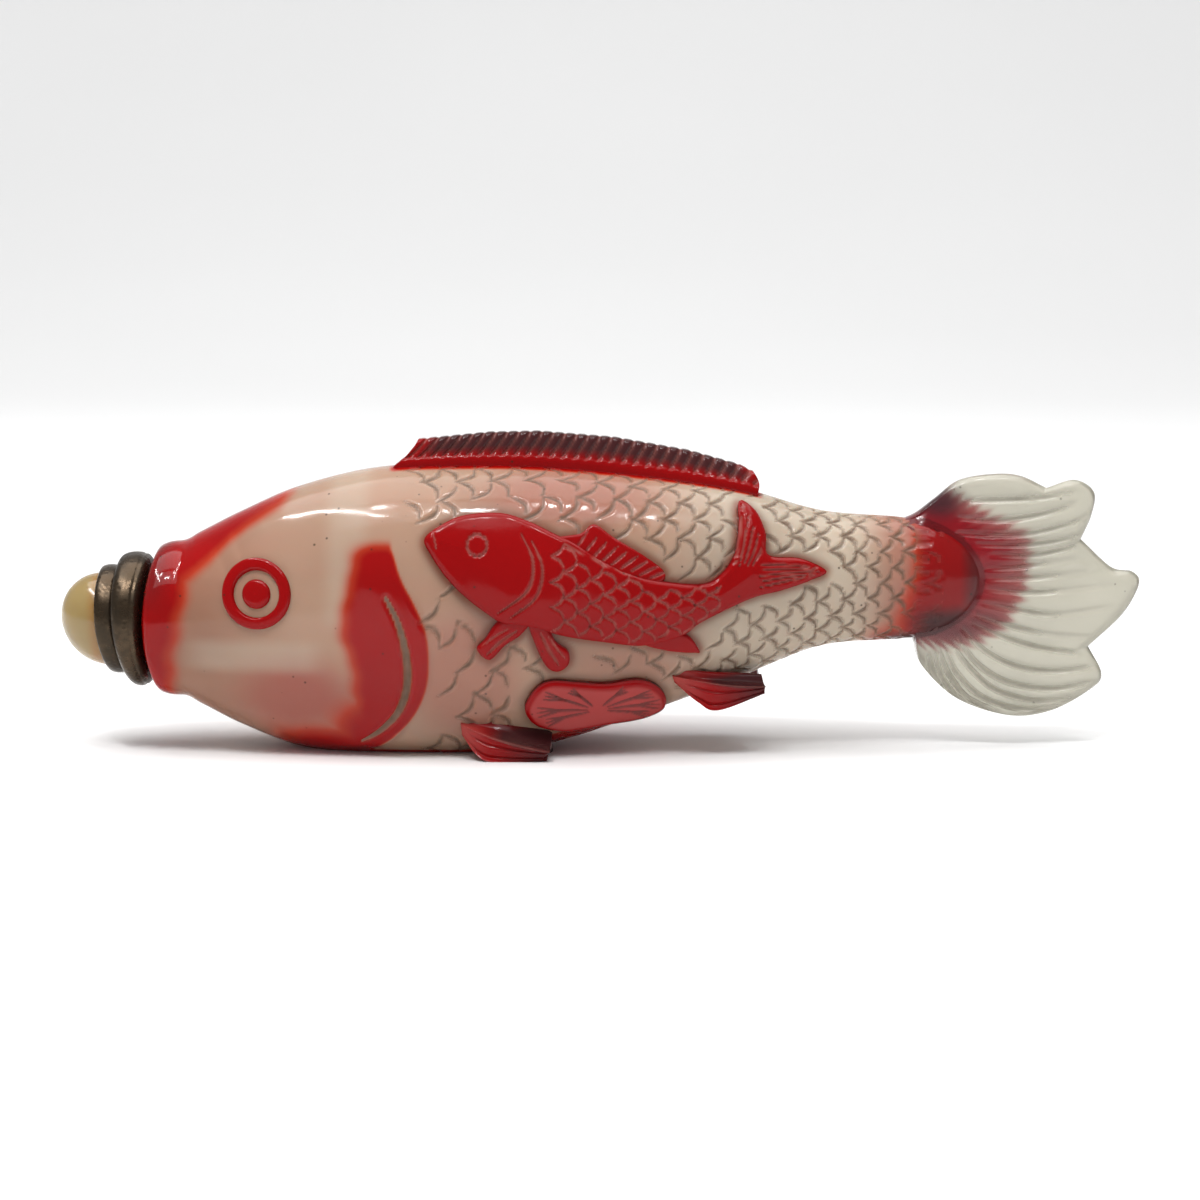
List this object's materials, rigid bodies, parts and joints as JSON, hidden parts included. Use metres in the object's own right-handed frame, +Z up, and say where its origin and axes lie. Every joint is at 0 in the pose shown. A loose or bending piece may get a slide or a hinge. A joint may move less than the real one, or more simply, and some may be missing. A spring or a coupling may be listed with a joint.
{
  "type": "snuff bottle",
  "caption": "Hollow glass snuff bottle shaped as a carp, with red overlay carving of small carps and lotus leaves, and a domed stopper plugged in the fish's mouth.",
  "frame": {"origin": "on the ground under the middle of the whole length, stopper included", "axes": "+X from the fish's mouth to its tail, +Y across it to the far flank, +Z up; it rests on the flat ground under its belly"},
  "size_m": [0.1076, 0.0226, 0.0316],
  "materials": {
    "overlay_glass": "gloss",
    "collar_metal": "satin",
    "cabochon_stone": "gloss"
  },
  "bodies": {
    "root": {"bottle": "overlay_glass", "stopper_collar": "collar_metal", "stopper_cabochon": "cabochon_stone"}
  },
  "joints": []
}
